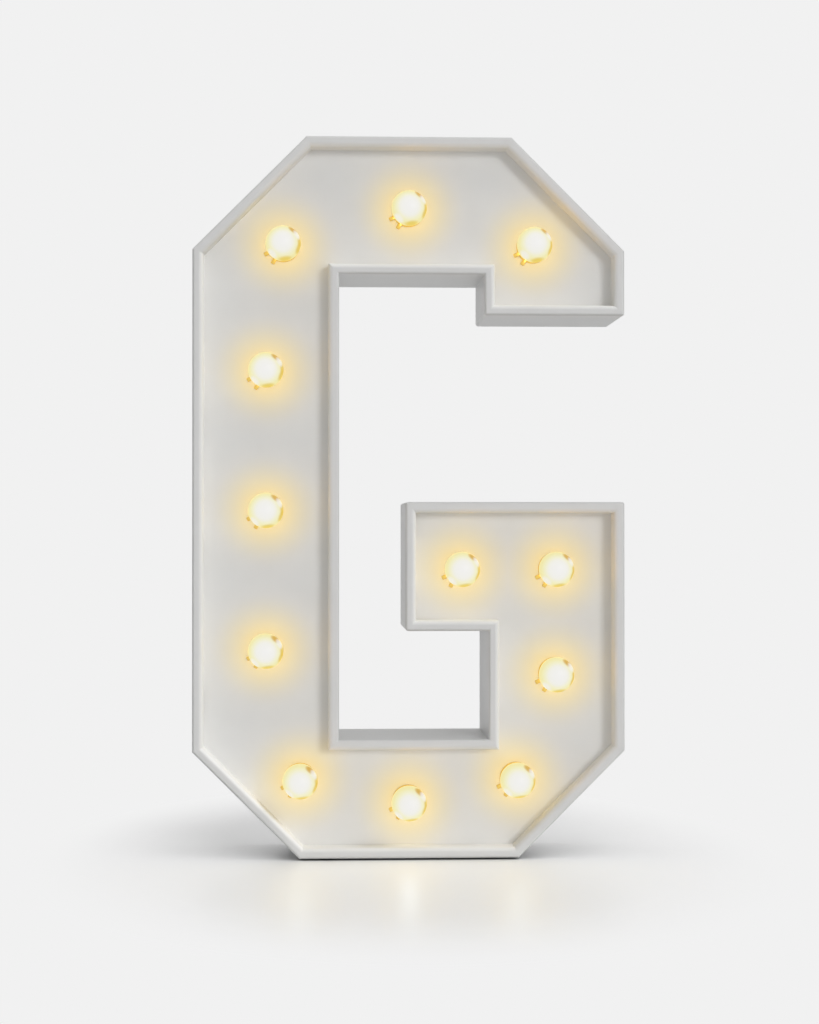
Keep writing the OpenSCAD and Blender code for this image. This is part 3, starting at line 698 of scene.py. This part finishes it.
# At a grazing angle the rear lamp would glint along the undersides, so it is left out of reflections.
suns["rear"].visible_glossy = False
EDGE_WALLS = (
    "base bottom_left_bevel stem_left terminal_inner terminal_underside top_bar_underside "
    "spur_end spur_underside arm_inner"
)
edge_side = bpy.data.collections.new("edge_side")
for name in EDGE_WALLS.split():
    edge_side.objects.link(nodes["wall_" + name])
suns["edge"].light_linking.receiver_collection = edge_side
key_side = edge_side.copy()
key_side.name = "key_side"
for member in key_side.collection_objects:
    member.light_linking.link_state = "EXCLUDE"
suns["key"].light_linking.receiver_collection = key_side
SOFTBOX_SIZE, SOFTBOX_POWER = 3, 18
softbox = bpy.data.lights.new("softbox", "AREA")
softbox.shape = "SQUARE"
softbox.size = SOFTBOX_SIZE
softbox.energy = SOFTBOX_POWER
hang(softbox, (0, -0.1, 3.2), (0, -0.1, 0))

# Floor: a smooth pale studio floor with a satin gloss, which shows the bulbs as soft streaks and the
# letter's shadow. Painted shade from an occlusion test darkens it in the corner under the letter, and further
# out it turns into the backdrop.
FLOOR_REACH, FLOOR_GLOSS, FLOOR_IOR = 30, 0.35, 1.45
FLOOR_TONE, FLOOR_SEEN = 0.57, 1.12
CORNER_REACH, CORNER_DEPTH, CORNER_FALL = 0.36, 1.4, 3
FADE_START, FADE_END, FADE_DEPTH = 0.36, 0.64, 0.65
bm = bmesh.new()
bmesh.ops.create_grid(bm, x_segments=1, y_segments=1, size=FLOOR_REACH)
mesh = bpy.data.meshes.new("floor")
bm.to_mesh(mesh)
bm.free()
floor = bpy.data.objects.new("floor", mesh)
scene.collection.objects.link(floor)
studio_floor = bpy.data.materials.new("studio_floor")
studio_floor.use_nodes = True
tree = studio_floor.node_tree
tree.nodes.clear()
seen = plain_sight(tree)
# Painted shade: the floor's colour darkens where the letter closes in around it.
corner = add(tree, "AmbientOcclusion", {"Distance": CORNER_REACH})
closed = add(tree, "Math", {0: 1, 1: corner.outputs["AO"]}, operation="SUBTRACT")
closed = add(tree, "Math", {0: closed.outputs[0], 1: CORNER_FALL}, operation="POWER")
shade = add(
    tree,
    "Math",
    {0: closed.outputs[0], 1: -CORNER_DEPTH * FLOOR_SEEN, 2: FLOOR_SEEN},
    operation="MULTIPLY_ADD",
)
tone = add(tree, "Mix", {0: seen, 2: FLOOR_TONE, 3: shade.outputs[0]})
matt = add(tree, "BsdfDiffuse", {"Color": tone.outputs[0]})
sheen = add(tree, "BsdfGlossy", {"Color": (1, 1, 1, 1), "Roughness": FLOOR_GLOSS})
facing = add(tree, "Fresnel", {"IOR": FLOOR_IOR})
polished = add(tree, "MixShader", {0: facing.outputs[0], 1: matt.outputs[0], 2: sheen.outputs[0]})
place = add(tree, "TexCoord", {}).outputs["Object"]
oval = add(tree, "VectorMath", {0: place, 1: (1, FADE_DEPTH, 0)}, operation="MULTIPLY")
away = add(tree, "VectorMath", {0: oval.outputs[0]}, operation="LENGTH")
far = add(
    tree,
    "MapRange",
    {"Value": away.outputs["Value"], "From Min": FADE_START, "From Max": FADE_END},
    interpolation_type="SMOOTHSTEP",
)
far_seen = add(tree, "Math", {0: far.outputs[0], 1: seen}, operation="MULTIPLY")
blank = add(tree, "Emission", {"Color": BACKDROP})
ground = add(tree, "MixShader", {0: far_seen.outputs[0], 1: polished.outputs[0], 2: blank.outputs[0]})
add(tree, "OutputMaterial", {"Surface": ground.outputs[0]})
mesh.materials.append(studio_floor)

# Light of the bulbs: in each globe a deep warm lamp lights the boards around it, a paler one the panel
# behind, and a near white one gives the streaks on the floor. The globes keep their own glow, and they and
# their rings cast no shadow in this light or the key's.
LAMP_DEPTH, LAMP_R = 8, 12
LAMP_CONE, LAMP_SOFT_EDGE = math.radians(138), 0.5
board_side = bpy.data.collections.new("board_side")
floor_side = bpy.data.collections.new("floor_side")
clear_of_bulbs = bpy.data.collections.new("clear_of_bulbs")
for globe in globes:
    board_side.objects.link(globe)
    clear_of_bulbs.objects.link(globe)
clear_of_bulbs.objects.link(rings)
panel_side = board_side.copy()
panel_side.name = "panel_side"
for group in (board_side, panel_side):
    group.objects.link(floor)
board_side.objects.link(nodes["face_panel"])
floor_side.objects.link(floor)
for group in (board_side, panel_side, clear_of_bulbs):
    for member in group.collection_objects:
        member.light_linking.link_state = "EXCLUDE"
suns["side"].light_linking.receiver_collection = floor_side
suns["rear"].light_linking.receiver_collection = panel_side
suns["key"].light_linking.blocker_collection = clear_of_bulbs
# Each lamp's use, kind, aim, colour and power, and what it lights.
LAMPS = [
    ("boards", "SPOT", (1, 0, 1), (1, 0.5, 0.08), 0.053, board_side),
    ("panel", "SPOT", (0, 1, 0), (1, 0.57, 0), 0.051, panel_side),
    ("floor", "POINT", (0, 0, -1), (0.85, 0.95, 1), 0.03, floor_side),
]
for k in BULBS:
    low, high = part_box(f"bulb_{k}_globe")
    for use, kind, way, colour, energy, receivers in LAMPS:
        light = bpy.data.lights.new(f"bulb_{k}_on_{use}", kind)
        light.color = colour
        light.energy = energy
        light.shadow_soft_size = LAMP_R * MM
        if kind == "SPOT":
            light.spot_size, light.spot_blend = LAMP_CONE, LAMP_SOFT_EDGE
        lamp = bpy.data.objects.new(light.name, light)
        lamp.location = ((low.x + high.x) / 2, low.y + LAMP_DEPTH * MM, (low.z + high.z) / 2)
        lamp.rotation_euler = Vector(way).to_track_quat("-Z", "Y").to_euler()
        lamp.visible_camera = False
        lamp.visible_glossy = use == "floor"
        lamp.light_linking.receiver_collection = receivers
        lamp.light_linking.blocker_collection = clear_of_bulbs
        scene.collection.objects.link(lamp)
